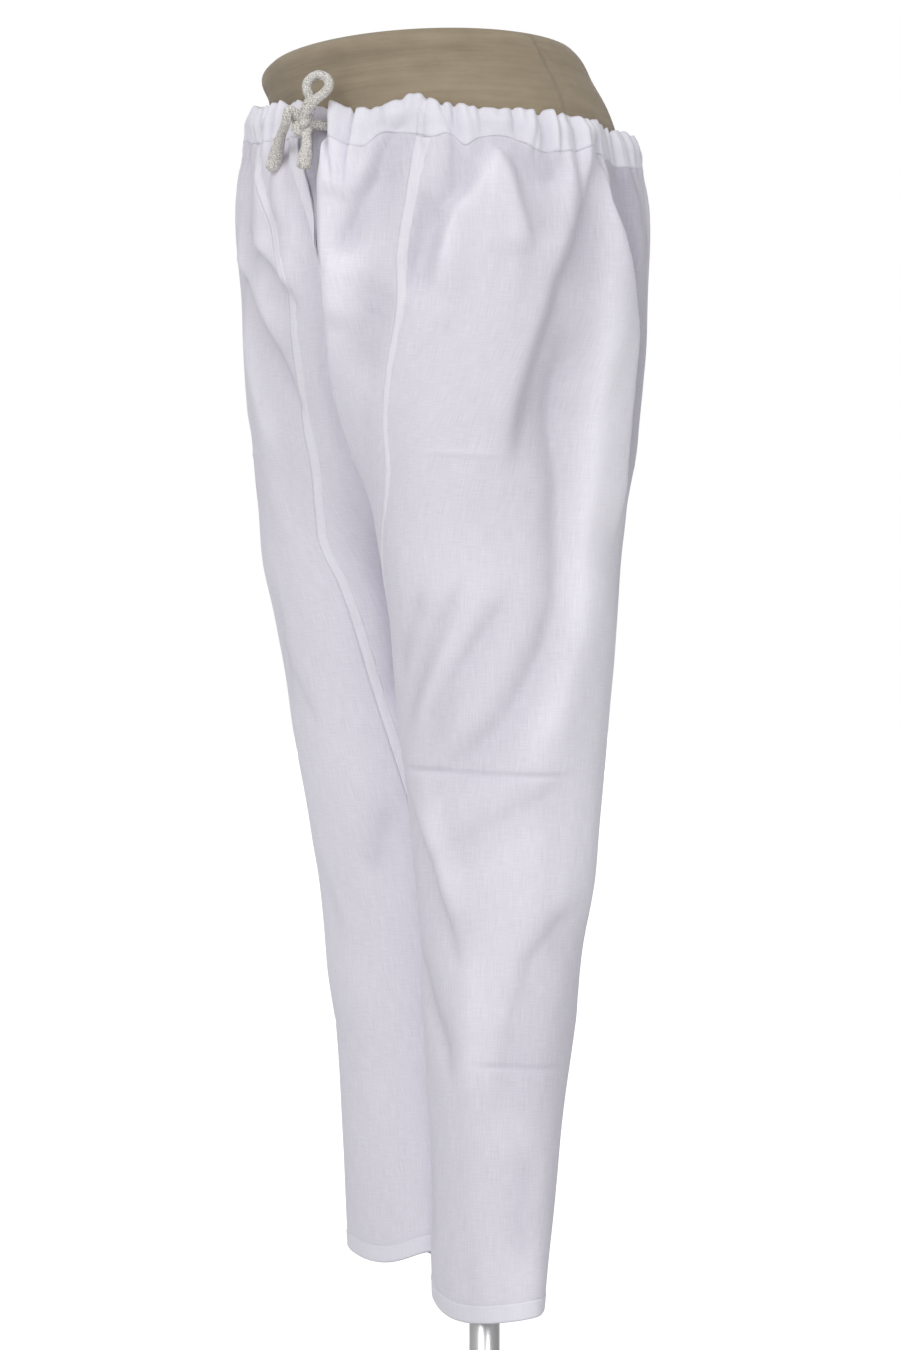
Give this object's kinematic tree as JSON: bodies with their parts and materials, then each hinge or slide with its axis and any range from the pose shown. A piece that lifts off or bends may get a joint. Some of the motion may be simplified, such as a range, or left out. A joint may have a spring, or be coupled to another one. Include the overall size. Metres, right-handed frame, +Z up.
{
  "type": "aligarhi pajama on a limbless dress form",
  "caption": "White cotton drawstring pajama with narrow straight legs, worn by a limbless hip form on a pole stand.",
  "frame": {"origin": "centre of the underside of the stand's base", "axes": "+Z up; the front of the pajama faces -Y; the wearer's left is +X"},
  "size_m": [0.38, 0.38, 1.17],
  "materials": {
    "white_cotton": "plain-woven cotton, matt",
    "white_cotton_double": "plain-woven cotton, two layers, matt",
    "cotton_cord": "coarse woven cotton tape",
    "tan_jersey": "fine stretch jersey",
    "satin_metal": "satin"
  },
  "bodies": {
    "root": {"left_leg": "white_cotton", "right_leg": "white_cotton", "left_front_gore": "white_cotton", "right_front_gore": "white_cotton", "left_back_gore": "white_cotton", "right_back_gore": "white_cotton", "waist_casing": "white_cotton_double", "left_hem": "white_cotton_double", "right_hem": "white_cotton_double", "drawstring_knot": "cotton_cord", "drawstring_loop": "cotton_cord", "drawstring_left_end": "cotton_cord", "drawstring_right_end": "cotton_cord", "drawstring_left_exit": "cotton_cord", "drawstring_right_exit": "cotton_cord", "dress_form": "tan_jersey", "stand_pole": "satin_metal", "stand_base": "satin_metal"}
  },
  "joints": []
}
